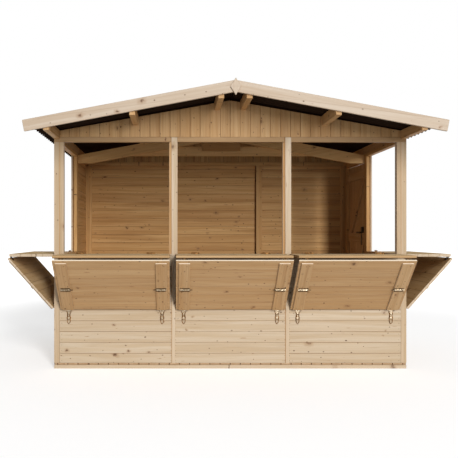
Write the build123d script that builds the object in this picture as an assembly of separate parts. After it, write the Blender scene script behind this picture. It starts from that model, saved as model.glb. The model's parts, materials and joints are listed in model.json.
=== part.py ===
from build123d import *
import os
from math import atan, cos, pi, sin

# Timber market stall with a gable roof, two-leaf folding hatches and a side door.
# Millimetres. X runs along the front, Y from the front wall to the rear wall, Z up.
# The origin is the middle of the stall's base, on the ground under the middle bearer.

# --- driving dimensions ---
wall_width = 3000            # over the side walls
wall_depth = 1800            # over the front and rear walls
board = 16                   # wall boards
stud = 30                    # depth of the panel frames behind the boards
stile = 36                   # width of one panel stile
wall = board + stud
bearer_high = 30
bearer_wide = 60
deck_thick = 17
sill_top = 975
sill_high = 36
head_low = 1930              # underside of the header rails
front_head_top = 1970
side_head_top = 1956
panel = (wall_width - 2 * wall) / 3          # three panels along the front and the rear
side_panel = 970                             # open bay of a side wall, from the front
joint_gap = 2                                # between neighbouring panels' boards
deck_inset = 6               # the floor boards' ends stand back from the bearers' faces

# --- cover strips ---
upper_strip_wide = 50        # between the serving openings, flush with the boards
upper_strip_shift = 9        # its middle lies this far right of the panel joint
upper_strip_gap = 8          # beside it, in the header rail
lower_strip_wide = 28        # over the joints of the lower boards
lower_strip_shift = 1
strip_proud = 12
side_strip_wide = 40         # over the joint of each side wall
side_strip_shift = 4
side_strip_proud = 15
rear_strip_wide = 40

# --- roof ---
slope = 0.1875               # rise per run
ridge_under = 2303           # underside of the sheets, produced to the ridge
purlin_wide = 45
purlin_high = 80             # measured plumb
ridge_purlin_x = 111
middle_purlin_x = 806
front_overhang = 442         # purlins past the front wall
rear_overhang = 100
eave_x = 1622                # edge of the sheets
wave_pitch = 76
wave_deep = 18
wave_points = 8              # straight facets in one wave
sheet_thick = 2.5
fascia_deep = 90
fascia_thick = 18
fascia_ridge = 2342          # top of the fascia at the ridge
fascia_x = 1661
diamond_high = 136
diamond_drop = 8             # its middle under the fascia's middle line
diamond_wide = 85
diamond_thick = 13
cap_wing = 120
cap_thick = 3
cap_clear = 0.5
ridge_gap = 12               # the sheets stop this far from the ridge line
gable_ridge = 2285           # top of the gable boards
gable_slope = 0.177          # they are cut a little flatter than the roof

# --- middle truss ---
truss_thick = 30
truss_deep = 108
truss_seat = 1868            # horizontal cut at the foot of each rafter
collar_low = 1946
collar_deep = 95
collar_reach = 960           # half length; its ends are lapped by the rafters
gusset_wide = 385
gusset_low = 1990
gusset_high = 185            # at the ridge
gusset_thick = 12

# --- hatches ---
hatch_wide = 928
leaf_thick = 24              # counter leaf
flap_thick = 17
counter_top = sill_top
wall_gap = 10                # the counter stands this far off the wall, open or closed
counter_reach = 378          # counter leaf, hinge edge to outer edge
fold_gap = 6                 # between the two leaves when they are in line
fold_below = 3.5             # fold axis under the counter's underside
flap_long = 574
fold_angle = 132             # turn of the flap from in line to folded under
batten_wide = 92
batten_thick = 12            # with the flap, clear of the wall when closed
batten_inset = 21
batten_start = 22            # from the fold end
batten_stop = 6              # from the free end
left_shift = 8               # the front's left hatch sits this far towards its corner

# --- hinges ---
fold_hinge_y = 396           # each side of the hatch's middle
fold_hinge_long = 40
fold_knuckle = 3.5           # radius
sill_hinge_y = 300
sill_hinge_long = 70
sill_knuckle = 4.5
hinge_plate = 2.5
hinge_wing = 38              # axis to the edge of the plate
hinge_clear = 6              # the plate starts this far from the axis, beside the other half's knuckle
knuckle_gap = 0.5

# --- bolts and latches ---
bolt_place = 0.545           # along the flap from its fold end
bolt_plate_long = 76
bolt_plate_wide = 32
bolt_plate_thick = 2
rod_radius = 4.5
rod_long = 106
rod_sides = 8
strap_long = 14              # straps that hold the rod
strap_wide = 18
strap_high = 13
latch_top = 496
latch_low = 378
latch_wide = 38              # at the top
latch_foot = 20              # at the bottom
latch_plate = 3
lever_wide = 20
lever_high = 10
lever_long = 78

# --- door ---
door_low_y = 106
door_high_y = 741
door_gap = 5
door_bottom = 55
door_top = 1880
ledge_thick = 19
ledge_high = 92
ledge_inset = 30
ledge_rows = (150, 1070, 1725)
brace_foot = 110
door_knuckle = 7
door_axis_out = 7            # hinge axis in front of the wall's face
door_hinge_rows = (196, 1771)
door_hinge_long = 90
door_strap = 240             # the strap on the leaf
door_strap_wide = 34
handle_y = 229
handle_z = (1035, 1222)
handle_wide = 38
handle_plate = 3
spindle_radius = 7
outer_spindle = 34           # spindle and lever, out of the boards
inner_spindle = 42
grip_long = 112
grip_thick = 9
grip_deep = 18
lever_above = 130            # lever's middle over the plate's foot

# --- derived places ---
half_wide = wall_width / 2
half_deep = wall_depth / 2
inner_x = half_wide - wall
inner_y = half_deep - wall
stud_x = half_wide - board
stud_y = half_deep - board
floor_top = bearer_high + deck_thick
joint_y = -half_deep + side_panel
side_bay = (-half_deep + stile, joint_y - stile)
panel_joints = (-panel / 2, panel / 2)
fold_u = wall_gap + counter_reach + fold_gap / 2
leaf_under = counter_top - leaf_thick
flap_face = leaf_under + flap_thick               # the flap's battened face, in line with the counter
fold_z = leaf_under - fold_below
flap_u = wall_gap + counter_reach + fold_gap      # the flap's fold end, in line with the counter
sill_axis_z = sill_top + wall_gap
batten_y = hatch_wide / 2 - batten_inset - batten_wide / 2
tilt = (1 + slope ** 2) ** 0.5                    # length along the slope for each unit across
roof_front = -half_deep - front_overhang
roof_rear = half_deep + rear_overhang

os.makedirs("parts", exist_ok=True)


def block(x0, x1, y0, y1, z0, z1):
    middle = ((x0 + x1) / 2, (y0 + y1) / 2, (z0 + z1) / 2)
    return Pos(*middle) * Box(x1 - x0, y1 - y0, z1 - z0)


def plate_xz(points, y0, y1):
    """An outline in X and Z, made as thick as y0 to y1."""
    face = make_face(Polyline(*[(x, y0, z) for x, z in points], close=True))
    return extrude(face, amount=y1 - y0, dir=(0, 1, 0))


def save(name, *solids):
    shape = solids[0] if len(solids) == 1 else Compound(children=list(solids))
    export_step(shape, f"parts/{name}.step")


def roof_line(x, ridge):
    return ridge - slope * abs(x)


# --- floor ---
def floor_bearers():
    reach = half_deep - bearer_wide / 2
    rows = [-reach, -reach / 2, 0, reach / 2, reach]
    return [block(-half_wide, half_wide, y - bearer_wide / 2, y + bearer_wide / 2, 0, bearer_high)
            for y in rows]


def floor_deck():
    reach = half_deep - deck_inset
    return block(-half_wide, half_wide, -reach, reach, bearer_high, floor_top)


# --- walls ---
def panel_edges():
    """The three panels' edges along X, with a hair gap where two panels meet."""
    half_gap = joint_gap / 2
    left, right = panel_joints
    return [(-inner_x, left - half_gap), (left + half_gap, right - half_gap), (right + half_gap, inner_x)]


def front_cladding():
    """Lower boards of the front, notched round the sill rails."""
    panels = []
    for (a, b), (c, d) in zip(panel_edges(), cross_bays()):
        boards = block(a, b, -half_deep, -stud_y, floor_top, sill_top)
        panels.append(boards - block(c, d, -half_deep, -stud_y, sill_top - sill_high, sill_top))
    return panels


def rear_cladding():
    return [block(a, b, stud_y, half_deep, floor_top, head_low) for a, b in panel_edges()]


def side_low_boards(x0, x1):
    """Lower boards of a side wall's open bay, notched round the sill rail."""
    boards = block(x0, x1, side_bay[0], joint_y - joint_gap / 2, floor_top, sill_top)
    return boards - block(x0, x1, *side_bay, sill_top - sill_high, sill_top)


def left_cladding():
    high = block(-half_wide, -stud_x, joint_y + joint_gap / 2, half_deep, floor_top, head_low)
    return [side_low_boards(-half_wide, -stud_x), high]


def right_cladding():
    lock_side = block(stud_x, half_wide, joint_y + joint_gap / 2, door_low_y, floor_top, head_low)
    hinge_side = block(stud_x, half_wide, door_high_y, half_deep, floor_top, head_low)
    return [side_low_boards(stud_x, half_wide), lock_side, hinge_side]


def door_lintel():
    return block(inner_x, half_wide, joint_y + stile, door_high_y, door_top + door_gap, head_low)


def cross_posts(y0, y1):
    """Stiles of a front or rear wall: single at the ends, doubled at the panel joints."""
    left, right = panel_joints
    spans = [(-inner_x, -inner_x + stile), (left - stile, left + stile),
             (right - stile, right + stile), (inner_x - stile, inner_x)]
    return [block(a, b, y0, y1, floor_top, head_low) for a, b in spans]


def side_posts(side):
    """Stiles of a side wall. The front one is as thick as the wall and shows at the corner."""
    x0, x1 = sorted((side * inner_x, side * stud_x))
    corner = sorted((side * inner_x, side * half_wide))
    posts = [block(*corner, -half_deep, side_bay[0], floor_top, head_low)]
    for a, b in ((joint_y - stile, joint_y + stile), (half_deep - stile, half_deep)):
        posts.append(block(x0, x1, a, b, floor_top, head_low))
    return posts


def door_jamb():
    return block(inner_x, stud_x, door_high_y, door_high_y + stile, floor_top, head_low)


def cross_bays():
    left, right = panel_joints
    return [(-inner_x + stile, left - stile), (left + stile, right - stile), (right + stile, inner_x - stile)]


def bottom_rails():
    low, high = floor_top, floor_top + stile
    rails = []
    for a, b in cross_bays():
        rails.append(block(a, b, -stud_y, -inner_y, low, high))
        rails.append(block(a, b, inner_y, stud_y, low, high))
    rear_bay = (joint_y + stile, half_deep - stile)
    rails.append(block(-stud_x, -inner_x, *side_bay, low, high))
    rails.append(block(inner_x, stud_x, *side_bay, low, high))
    rails.append(block(-stud_x, -inner_x, *rear_bay, low, high))
    rails.append(block(inner_x, stud_x, door_high_y + stile, half_deep - stile, low, high))
    return rails


def sill_rails():
    low = sill_top - sill_high
    rails = [block(a, b, -half_deep, -inner_y, low, sill_top) for a, b in cross_bays()]
    rails.append(block(-half_wide, -inner_x, *side_bay, low, sill_top))
    rails.append(block(inner_x, half_wide, *side_bay, low, sill_top))
    return rails


def upper_strip_edges():
    """Low and high X of each strip between two serving openings."""
    half = upper_strip_wide / 2
    return [(x + upper_strip_shift - half, x + upper_strip_shift + half) for x in panel_joints]


def header_rails():
    front = block(-inner_x, inner_x, -half_deep, -inner_y, head_low, front_head_top)
    for a, b in upper_strip_edges():
        front -= block(a - upper_strip_gap, b, -half_deep, -stud_y, head_low, front_head_top)
    rear = block(-inner_x, inner_x, inner_y, half_deep, head_low, front_head_top)
    left = block(-half_wide, -inner_x, -half_deep, half_deep, head_low, side_head_top)
    right = block(inner_x, half_wide, -half_deep, half_deep, head_low, side_head_top)
    return [front, rear, left, right]


def cover_strips():
    """Strips over the panel joints, and the boards' thickness made up in front of the end stiles."""
    strips = []
    for a, b in upper_strip_edges():
        strips.append(block(a, b, -half_deep, -stud_y, sill_top, front_head_top))
    for x in panel_joints:
        low, high = x + lower_strip_shift - lower_strip_wide / 2, x + lower_strip_shift + lower_strip_wide / 2
        strips.append(block(low, high, -half_deep - strip_proud, -half_deep, floor_top, sill_top))
        half = rear_strip_wide / 2
        strips.append(block(x - half, x + half, half_deep, half_deep + strip_proud, floor_top, front_head_top))
    for a in (-inner_x, inner_x - stile):
        strips.append(block(a, a + stile, -half_deep, -stud_y, sill_top, head_low))
    middle = joint_y + side_strip_shift
    ends = (middle - side_strip_wide / 2, middle + side_strip_wide / 2)
    strips.append(block(-half_wide - side_strip_proud, -half_wide, *ends, floor_top, side_head_top))
    strips.append(block(half_wide, half_wide + side_strip_proud, *ends, floor_top, side_head_top))
    return strips


# --- roof timbers ---
def purlin_spans():
    """Low and high X of each purlin. The eave purlins stand on the side walls."""
    half = purlin_wide / 2
    spans = [(-half_wide, -inner_x)]
    for x in (-middle_purlin_x, -ridge_purlin_x, ridge_purlin_x, middle_purlin_x):
        spans.append((x - half, x + half))
    spans.append((inner_x, half_wide))
    return spans


def purlin(x0, x1):
    """A purlin with plumb sides, its top bevelled to the roof."""
    low = roof_line((x0 + x1) / 2, ridge_under - purlin_high)
    if max(abs(x0), abs(x1)) == half_wide:
        low = side_head_top
    outline = [(x0, low), (x1, low), (x1, roof_line(x1, ridge_under)), (x0, roof_line(x0, ridge_under))]
    return plate_xz(outline, roof_front, roof_rear)


def purlins():
    return [purlin(a, b) for a, b in purlin_spans()]


def gable(y0, y1):
    eave = gable_ridge - gable_slope * inner_x
    outline = [(-inner_x, front_head_top), (inner_x, front_head_top), (inner_x, eave), (0, gable_ridge),
               (-inner_x, eave)]
    shape = plate_xz(outline, y0, y1)
    for a, b in purlin_spans()[1:-1]:
        low = roof_line((a + b) / 2, ridge_under - purlin_high)
        shape -= block(a, b, y0, y1, low, ridge_under)
    return shape


def truss_rafters():
    """Two rafters with a plumb cut at the ridge and a level seat cut at the foot."""
    top = ridge_under - purlin_high
    low = top - truss_deep
    seat_x = (low - truss_seat) / slope
    y0 = joint_y + stile
    outline = [(0, top), (inner_x, roof_line(inner_x, top)), (inner_x, truss_seat),
               (seat_x, truss_seat), (0, low)]
    rafter = plate_xz(outline, y0, y0 + truss_thick)
    half_gap = joint_gap / 2
    rafter -= block(-half_gap, half_gap, y0, y0 + truss_thick, low, top)
    for a, b in purlin_spans()[3:5]:
        seat = roof_line((a + b) / 2, ridge_under - purlin_high)
        rafter -= block(a, b, y0, y0 + truss_thick, seat, top)
    return [rafter, mirror(rafter, about=Plane.YZ)]


def truss_collar():
    y0 = joint_y + stile + truss_thick
    return block(-collar_reach, collar_reach, y0, y0 + truss_thick, collar_low, collar_low + collar_deep)


def truss_gusset():
    """Plate over the rafters' heads, its top edges parallel to the roof."""
    y1 = joint_y + stile
    half = gusset_wide / 2
    top = gusset_low + gusset_high
    outline = [(-half, gusset_low), (half, gusset_low), (half, roof_line(half, top)), (0, top),
               (-half, roof_line(half, top))]
    return plate_xz(outline, y1 - gusset_thick, y1)


# --- roof covering ---
def roof_sheet(side):
    """Waves follow one another along the ridge, and each wave runs down the slope."""
    rise = wave_deep / 2
    waves = int((roof_rear - roof_front) // wave_pitch)
    start = (roof_front + roof_rear - waves * wave_pitch) / 2
    middle = ridge_under + rise * tilt
    under = []
    for i in range(waves * wave_points + 1):
        turn = i / wave_points
        under.append((0, start + turn * wave_pitch, middle - rise * cos(2 * pi * turn)))
    over = [(x, y, z + sheet_thick) for x, y, z in reversed(under)]
    face = make_face(Polyline(*under, *over, close=True))
    sheet = extrude(face, amount=(eave_x - ridge_gap) * tilt, dir=(side, 0, -slope))
    return Pos(side * ridge_gap, 0, -slope * ridge_gap) * sheet


def ridge_cap():
    low = ridge_under + wave_deep * tilt + sheet_thick + cap_clear
    high = low + cap_thick
    outline = [(0, low), (cap_wing, roof_line(cap_wing, low)), (cap_wing, roof_line(cap_wing, high)),
               (0, high), (-cap_wing, roof_line(cap_wing, high)), (-cap_wing, roof_line(cap_wing, low))]
    return plate_xz(outline, roof_front, roof_rear)


def fascia(y0, y1):
    """A pair of barge boards, cut plumb where they meet and square at the eaves."""
    low = fascia_ridge - fascia_deep * tilt
    foot = fascia_x - fascia_deep * sin(atan(slope))
    half_gap = joint_gap / 2
    outline = [(half_gap, roof_line(half_gap, fascia_ridge)), (fascia_x, roof_line(fascia_x, fascia_ridge)),
               (foot, roof_line(foot, low)), (half_gap, roof_line(half_gap, low))]
    right = plate_xz(outline, y0, y1)
    return [right, mirror(right, about=Plane.YZ)]


def diamond(y0, y1):
    middle = fascia_ridge - fascia_deep / 2 - diamond_drop
    outline = [(0, middle - diamond_high / 2), (diamond_wide / 2, middle), (0, middle + diamond_high / 2),
               (-diamond_wide / 2, middle)]
    return plate_xz(outline, y0, y1)


# --- hatches, in their own frame: X out of the wall, Y along it, Z up ---
def counter_leaf():
    return block(wall_gap, wall_gap + counter_reach, -hatch_wide / 2, hatch_wide / 2, leaf_under, counter_top)


def fold(shape):
    """Turn a flap piece from in line with the counter to folded under it."""
    axis = Axis((fold_u, 0, fold_z), (0, 1, 0))
    return shape.rotate(axis, fold_angle)


def flap_leaf():
    half = hatch_wide / 2
    leaf = block(flap_u, flap_u + flap_long, -half, half, leaf_under, flap_face)
    for middle in (-batten_y, batten_y):
        leaf += block(flap_u + batten_start, flap_u + flap_long - batten_stop, middle - batten_wide / 2,
                      middle + batten_wide / 2, flap_face, flap_face + batten_thick)
    return fold(leaf)


def knuckle(u, z, y0, y1, radius):
    cylinder = Cylinder(radius, y1 - y0, align=(Align.CENTER, Align.CENTER, Align.MIN))
    return Pos(u, y0, z) * Rot(-90, 0, 0) * cylinder


def hinge_half(u, z, side, plate_low, radius, ends, spans):
    """A hinge plate on one side of the axis at u, z, with knuckles over the given spans of Y."""
    plate_high = plate_low + hinge_plate
    near, far = sorted((u + side * hinge_clear, u + side * hinge_wing))
    half = block(near, far, *ends, plate_low, plate_high)
    inner, outer = sorted((u, u + side * hinge_clear))
    for y0, y1 in spans:
        half += block(inner, outer, y0, y1, min(z, plate_low), max(z, plate_high))
        half += knuckle(u, z, y0, y1, radius)
    return half


def knuckle_spans(y, long):
    """Outer pair of knuckles and the middle one, with a gap between them."""
    end, third = long / 2, long / 6
    outer = [(y - end, y - third - knuckle_gap), (y + third + knuckle_gap, y + end)]
    return outer, [(y - third, y + third)]


def halved_spans(y, long):
    """One knuckle for each half of a hinge."""
    end = long / 2
    return [(y - end, y - knuckle_gap / 2)], [(y + knuckle_gap / 2, y + end)]


def counter_hinges():
    """The counter's halves of its sill hinges and of its fold hinges."""
    pieces = []
    for y in (-sill_hinge_y, sill_hinge_y):
        _, mine = halved_spans(y, sill_hinge_long)
        ends = (y - sill_hinge_long / 2, y + sill_hinge_long / 2)
        pieces.append(hinge_half(0, sill_axis_z, 1, counter_top, sill_knuckle, ends, mine))
    for y in (-fold_hinge_y, fold_hinge_y):
        _, mine = knuckle_spans(y, fold_hinge_long)
        ends = (y - fold_hinge_long / 2, y + fold_hinge_long / 2)
        pieces.append(hinge_half(fold_u, fold_z, -1, leaf_under - hinge_plate, fold_knuckle, ends, mine))
    return pieces


def sill_hinges():
    """The wall's halves of a hatch's sill hinges, on the sill rail."""
    pieces = []
    for y in (-sill_hinge_y, sill_hinge_y):
        mine, _ = halved_spans(y, sill_hinge_long)
        ends = (y - sill_hinge_long / 2, y + sill_hinge_long / 2)
        pieces.append(hinge_half(0, sill_axis_z, -1, sill_top, sill_knuckle, ends, mine))
    return pieces


def barrel_bolt(y):
    """A plate on the batten, two straps and a rod drawn back towards the flap's middle."""
    u = flap_u + bolt_place * flap_long
    face = flap_face + batten_thick
    bolt = block(u - bolt_plate_wide / 2, u + bolt_plate_wide / 2, y - bolt_plate_long / 2,
                 y + bolt_plate_long / 2, face, face + bolt_plate_thick)
    for strap in (y - bolt_plate_long / 3, y + bolt_plate_long / 3):
        bolt += block(u - strap_wide / 2, u + strap_wide / 2, strap - strap_long / 2, strap + strap_long / 2,
                      face, face + strap_high)
    outer = y + bolt_plate_long / 2 if y > 0 else y - bolt_plate_long / 2
    inner = outer - rod_long if y > 0 else outer + rod_long
    section = Plane.XZ.offset(-min(outer, inner)) * RegularPolygon(rod_radius, rod_sides, rotation=180 / rod_sides)
    rod = extrude(section, amount=rod_long, dir=(0, 1, 0))
    return bolt + Pos(u, 0, face + bolt_plate_thick + rod_radius) * rod


def flap_fittings():
    """The flap's halves of its fold hinges, and the bolt on each batten."""
    pieces = []
    for y in (-fold_hinge_y, fold_hinge_y):
        mine, _ = knuckle_spans(y, fold_hinge_long)
        ends = (y - fold_hinge_long / 2, y + fold_hinge_long / 2)
        pieces.append(hinge_half(fold_u, fold_z, 1, leaf_under - hinge_plate, fold_knuckle, ends, mine))
    for y in (-batten_y, batten_y):
        pieces.append(barrel_bolt(y))
    return [fold(piece) for piece in pieces]


def draw_latch(y):
    """A tapered plate on the wall with the latch's lever over it."""
    top, foot = latch_wide / 2, latch_foot / 2
    outline = [(0, y - foot, latch_low), (0, y + foot, latch_low), (0, y + top, latch_top), (0, y - top, latch_top)]
    latch = extrude(make_face(Polyline(*outline, close=True)), amount=latch_plate, dir=(1, 0, 0))
    high = latch_top - latch_wide / 2
    latch += block(0, latch_plate + lever_high, y - lever_wide / 2, y + lever_wide / 2, high - lever_long, high)
    return latch


hatches = {
    "front_left": (-panel - left_shift, -half_deep, -90),
    "front_middle": (0, -half_deep, -90),
    "front_right": (panel, -half_deep, -90),
    "left_side": (-half_wide, -half_deep + side_panel / 2, 180),
    "right_side": (half_wide, -half_deep + side_panel / 2, 0),
}


def place(shape, where):
    x, y, turn = where
    return Pos(x, y, 0) * Rot(0, 0, turn) * shape


# --- door in the right-hand wall ---
def door_leaf():
    """Boards on three ledges, with a brace between each two that rises towards the lock."""
    low_y, high_y = door_low_y + door_gap, door_high_y - door_gap
    inside = stud_x - ledge_thick
    leaf = block(stud_x, half_wide, low_y, high_y, door_bottom, door_top)
    a, b = low_y + ledge_inset, high_y - ledge_inset
    for row in ledge_rows:
        leaf += block(inside, stud_x, a, b, row, row + ledge_high)
    for row, row_above in zip(ledge_rows, ledge_rows[1:]):
        foot = row + ledge_high
        points = [(inside, b, foot), (inside, b - brace_foot, foot), (inside, a, row_above),
                  (inside, a + brace_foot, row_above)]
        leaf += extrude(make_face(Polyline(*points, close=True)), amount=ledge_thick, dir=(1, 0, 0))
    return leaf


def door_knuckle_round(z0, z1):
    cylinder = Cylinder(door_knuckle, z1 - z0, align=(Align.CENTER, Align.CENTER, Align.MIN))
    return Pos(half_wide + door_axis_out, (door_high_y - door_gap + door_high_y) / 2, z0) * cylinder


def door_straps():
    """Long straps on the leaf, each with the lower knuckle of its hinge."""
    axis_y = door_high_y - door_gap / 2
    straps = []
    for middle in door_hinge_rows:
        half = door_strap_wide / 2
        strap = block(half_wide, half_wide + hinge_plate, axis_y - door_strap, axis_y - door_knuckle,
                      middle - half, middle + half)
        strap += block(half_wide, half_wide + door_axis_out, axis_y - door_knuckle, axis_y, middle - half,
                       middle - knuckle_gap)
        strap += door_knuckle_round(middle - half, middle - knuckle_gap)
        straps.append(strap)
    return straps


def door_hinge_plates():
    """Plates on the wall, each with the upper knuckle of its hinge."""
    axis_y = door_high_y - door_gap / 2
    plates = []
    for middle in door_hinge_rows:
        half = door_hinge_long / 2
        top = middle + door_strap_wide / 2
        plate = block(half_wide, half_wide + hinge_plate, axis_y + door_knuckle, axis_y + hinge_wing,
                      middle - half, middle + half)
        plate += block(half_wide, half_wide + door_axis_out, axis_y, axis_y + door_knuckle,
                       middle + knuckle_gap, top)
        plate += door_knuckle_round(middle + knuckle_gap, top)
        plates.append(plate)
    return plates


def door_handle(face, side, plate, spindle_long):
    """A plate, a spindle and a lever on one face of the leaf."""
    def span(near, far):
        return sorted((face + side * near, face + side * far))

    low, high = handle_z
    handle = block(*span(0, plate), handle_y - handle_wide / 2, handle_y + handle_wide / 2, low, high)
    middle = low + lever_above
    x0, x1 = span(0, spindle_long)
    spindle = Cylinder(spindle_radius, x1 - x0, align=(Align.CENTER, Align.CENTER, Align.MIN))
    handle += Pos(x0, handle_y, middle) * Rot(0, 90, 0) * spindle
    handle += block(*span(spindle_long - grip_thick, spindle_long), handle_y, handle_y + grip_long,
                    middle - grip_deep / 2, middle + grip_deep / 2)
    return handle


def lock_case():
    """The inner handle, on a case that is cut round the middle ledge and the brace under it."""
    case = door_handle(stud_x, -1, ledge_thick + handle_plate, inner_spindle)
    return case - block(stud_x - ledge_thick, stud_x, handle_y - handle_wide, handle_y + handle_wide,
                        handle_z[0], ledge_rows[1] + ledge_high)


def door_fittings():
    return door_straps() + [door_handle(half_wide, 1, handle_plate, outer_spindle), lock_case()]


def wall_fittings():
    """What stays on the walls: sill hinge halves, draw latches and the door's hinge plates."""
    pieces = door_hinge_plates()
    for where in hatches.values():
        for piece in sill_hinges() + [draw_latch(-batten_y), draw_latch(batten_y)]:
            pieces.append(place(piece, where))
    return pieces


save("floor_bearers", *floor_bearers())
save("floor_deck", floor_deck())
save("front_cladding", *front_cladding())
save("rear_cladding", *rear_cladding())
save("left_cladding", *left_cladding())
save("right_cladding", *right_cladding())
save("door_lintel", door_lintel())
save("front_posts", *cross_posts(-stud_y, -inner_y))
save("rear_posts", *cross_posts(inner_y, stud_y))
save("left_posts", *side_posts(-1))
save("right_posts", *side_posts(1), door_jamb())
save("bottom_rails", *bottom_rails())
save("sill_rails", *sill_rails())
save("header_rails", *header_rails())
save("purlins", *purlins())
save("front_gable", gable(-half_deep, -stud_y))
save("rear_gable", gable(stud_y, half_deep))
save("cover_strips", *cover_strips())
save("truss_rafters", *truss_rafters())
save("truss_collar", truss_collar())
save("truss_gusset", truss_gusset())
save("roof_sheet_left", roof_sheet(-1))
save("roof_sheet_right", roof_sheet(1))
save("ridge_cap", ridge_cap())
save("front_fascias", *fascia(roof_front - fascia_thick, roof_front))
save("rear_fascias", *fascia(roof_rear, roof_rear + fascia_thick))
front_face = roof_front - fascia_thick
rear_face = roof_rear + fascia_thick
save("gable_diamonds", diamond(front_face - diamond_thick, front_face),
     diamond(rear_face, rear_face + diamond_thick))
save("wall_fittings", *wall_fittings())
save("door_leaf", door_leaf())
save("door_fittings", *door_fittings())
for name, where in hatches.items():
    save(f"{name}_counter", place(counter_leaf(), where))
    save(f"{name}_flap", place(flap_leaf(), where))
    save(f"{name}_counter_hinges", *[place(piece, where) for piece in counter_hinges()])
    save(f"{name}_flap_fittings", *[place(piece, where) for piece in flap_fittings()])
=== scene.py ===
import bpy
import bmesh
import json
import math
import random
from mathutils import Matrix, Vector

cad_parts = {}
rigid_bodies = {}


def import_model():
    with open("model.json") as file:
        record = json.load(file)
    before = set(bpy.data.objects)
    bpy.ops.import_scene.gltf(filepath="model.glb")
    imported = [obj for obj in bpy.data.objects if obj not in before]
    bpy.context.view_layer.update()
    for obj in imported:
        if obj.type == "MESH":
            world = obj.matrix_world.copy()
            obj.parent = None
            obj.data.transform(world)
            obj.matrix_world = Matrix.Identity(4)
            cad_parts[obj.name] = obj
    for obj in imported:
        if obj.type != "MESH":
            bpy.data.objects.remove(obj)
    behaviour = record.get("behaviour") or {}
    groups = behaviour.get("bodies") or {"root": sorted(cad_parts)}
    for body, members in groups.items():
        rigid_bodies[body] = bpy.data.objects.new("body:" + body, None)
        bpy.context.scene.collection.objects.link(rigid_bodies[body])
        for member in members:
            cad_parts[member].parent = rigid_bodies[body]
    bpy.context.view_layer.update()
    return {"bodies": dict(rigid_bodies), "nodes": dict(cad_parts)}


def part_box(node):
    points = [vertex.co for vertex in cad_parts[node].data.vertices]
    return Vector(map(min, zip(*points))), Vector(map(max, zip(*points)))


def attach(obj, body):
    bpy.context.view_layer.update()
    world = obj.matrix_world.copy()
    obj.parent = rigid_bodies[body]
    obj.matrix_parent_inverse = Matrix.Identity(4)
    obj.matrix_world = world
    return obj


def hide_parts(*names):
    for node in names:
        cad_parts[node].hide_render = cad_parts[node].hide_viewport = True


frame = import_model()

roofSlope = 0.1875       # rise per metre
axes = axisX, axisY, axisZ = Vector((1, 0, 0)), Vector((0, 1, 0)), Vector((0, 0, 1))
slopeRight = Vector((1, 0, -roofSlope)).normalized()
slopeLeft = Vector((-1, 0, -roofSlope)).normalized()
# where the boards' outside faces are, and what bounds the room in front, to the left and above
walls = {"side": 1.5, "front": -0.9, "rear": 0.9, "inFront": -0.85, "inLeft": -1.38, "top": 2.3}
facing = 0.9                     # a face looks in a direction when this much of its normal does
weld = 1e-5                      # points nearer than this are one point
sliver = 0.0002                  # a cut stays this far off a face of the solid
flatAngle = math.radians(1)      # faces that meet at less are one face

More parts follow.
